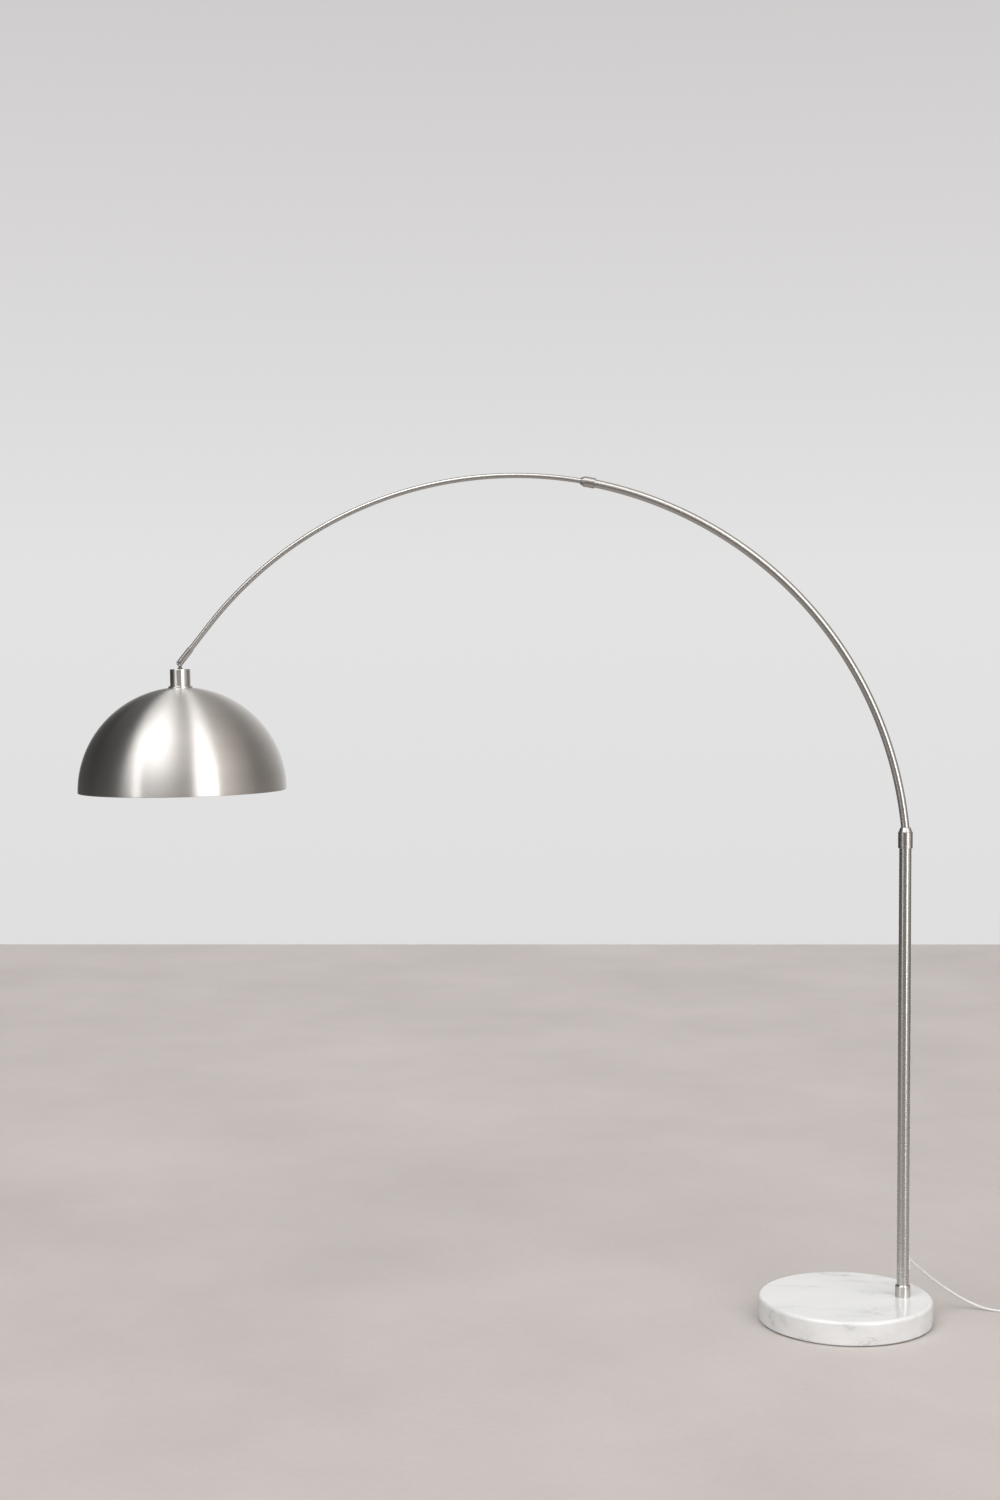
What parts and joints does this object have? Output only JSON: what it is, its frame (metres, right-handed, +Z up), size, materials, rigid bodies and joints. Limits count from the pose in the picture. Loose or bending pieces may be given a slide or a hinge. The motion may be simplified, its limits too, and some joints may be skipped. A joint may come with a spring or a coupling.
{
  "type": "arc floor lamp",
  "caption": "Arc floor lamp: marble disc base, upright post, curved telescoping arm with knurled clamp nuts, and a hemispherical metal shade hanging from a tilting joint.",
  "frame": {"origin": "centre of the base's underside, on the floor", "axes": "+Z up; the post stands at +X from the middle of the base and the arm reaches over the base towards -X; +Y is to the back"},
  "size_m": [2.3155, 0.48, 1.9583],
  "materials": {
    "felt": "black felt",
    "marble": "polished white marble with grey veins",
    "brushed_steel": "satin brushed nickel",
    "knurled_steel": "fine diamond knurl",
    "spun_metal": "spun and circumferentially brushed, satin nickel colour",
    "dark_steel": "dark joint",
    "zinc_steel": "zinc plated",
    "nylon": "natural nylon",
    "porcelain": "glazed",
    "brass": "plain",
    "white_plastic": "white",
    "cord_white": "white PVC sheath"
  },
  "bodies": {
    "base": {"base_pad": "felt", "marble_base": "marble", "base_washer": "zinc_steel", "base_bolt": "zinc_steel", "post_plug": "zinc_steel", "foot_collar": "brushed_steel", "post_tube": "brushed_steel", "post_head": "zinc_steel", "cord_strain_relief": "white_plastic", "inner_cord_post": "cord_white", "cord_lead": "cord_white", "switch_base": "white_plastic", "switch_cover": "white_plastic", "switch_contact_block": "nylon", "cord_link": "cord_white", "cord_coil": "cord_white", "coil_tie": "white_plastic", "cord_tail": "cord_white", "plug_body": "white_plastic", "plug_pins": "zinc_steel"},
    "post_nut": {"post_clamp_nut": "knurled_steel"},
    "collet": {"post_collet": "nylon"},
    "lower_arm": {"arm_shank": "brushed_steel", "lower_arm_tube": "brushed_steel", "arm_end_ring": "nylon", "arm_head": "zinc_steel", "arm_collet": "nylon", "inner_cord_lower": "cord_white"},
    "arm_nut": {"arm_clamp_nut": "knurled_steel"},
    "upper_arm": {"upper_arm_tube": "brushed_steel", "upper_guide_ring": "nylon", "arm_ferrule": "brushed_steel", "pivot_screw": "zinc_steel", "pivot_nut": "zinc_steel", "inner_cord_upper": "cord_white"},
    "knuckle": {"shade_knuckle": "dark_steel", "swivel_washer": "nylon", "swivel_locknut": "zinc_steel"},
    "shade": {"socket_cup": "brushed_steel", "cup_flange": "brushed_steel", "shade_dome": "spun_metal", "holder_bracket": "zinc_steel", "holder_screws": "zinc_steel", "lampholder_body": "porcelain", "lampholder_thread": "brass", "lampholder_contact": "brass", "shade_ring": "white_plastic"},
    "button": {"switch_button": "white_plastic"}
  },
  "joints": [
    {"name": "post_nut_turn", "type": "hinge", "parent": "base", "child": "post_nut", "pos_m": [0.132, 0, 1.12], "axis": [0, 0, 1], "range_deg": [0, 360]},
    {"name": "arm_swivel", "type": "hinge", "parent": "base", "child": "collet", "pos_m": [0.132, 0, 1.1], "axis": [0, 0, 1], "range_deg": [-170, 170]},
    {"name": "height_slide", "type": "slide", "parent": "collet", "child": "lower_arm", "axis": [0, 0, 1], "range_m": [0, 0.3]},
    {"name": "arm_nut_turn", "type": "hinge", "parent": "lower_arm", "child": "arm_nut", "pos_m": [-0.59442, 0, 1.93621], "axis": [-0.9821, 0, 0.1882], "range_deg": [0, 360]},
    {"name": "reach", "type": "hinge", "parent": "lower_arm", "child": "upper_arm", "pos_m": [-0.76384, 0, 1.0523], "axis": [0, 1, 0], "range_deg": [-3, 20]},
    {"name": "shade_tilt", "type": "hinge", "parent": "upper_arm", "child": "knuckle", "pos_m": [-1.53729, 0, 1.52569], "axis": [0, 1, 0], "range_deg": [-45, 45]},
    {"name": "shade_swivel", "type": "hinge", "parent": "knuckle", "child": "shade", "pos_m": [-1.53703, 0, 1.5057], "axis": [-0.0126, 0, 0.9999], "range_deg": [-170, 170]},
    {"name": "button_press", "type": "slide", "parent": "base", "child": "button", "axis": [0, 0, -1], "range_m": [0, 0.003], "stiffness_N_per_m": 900, "springref_m": -0.002}
  ]
}
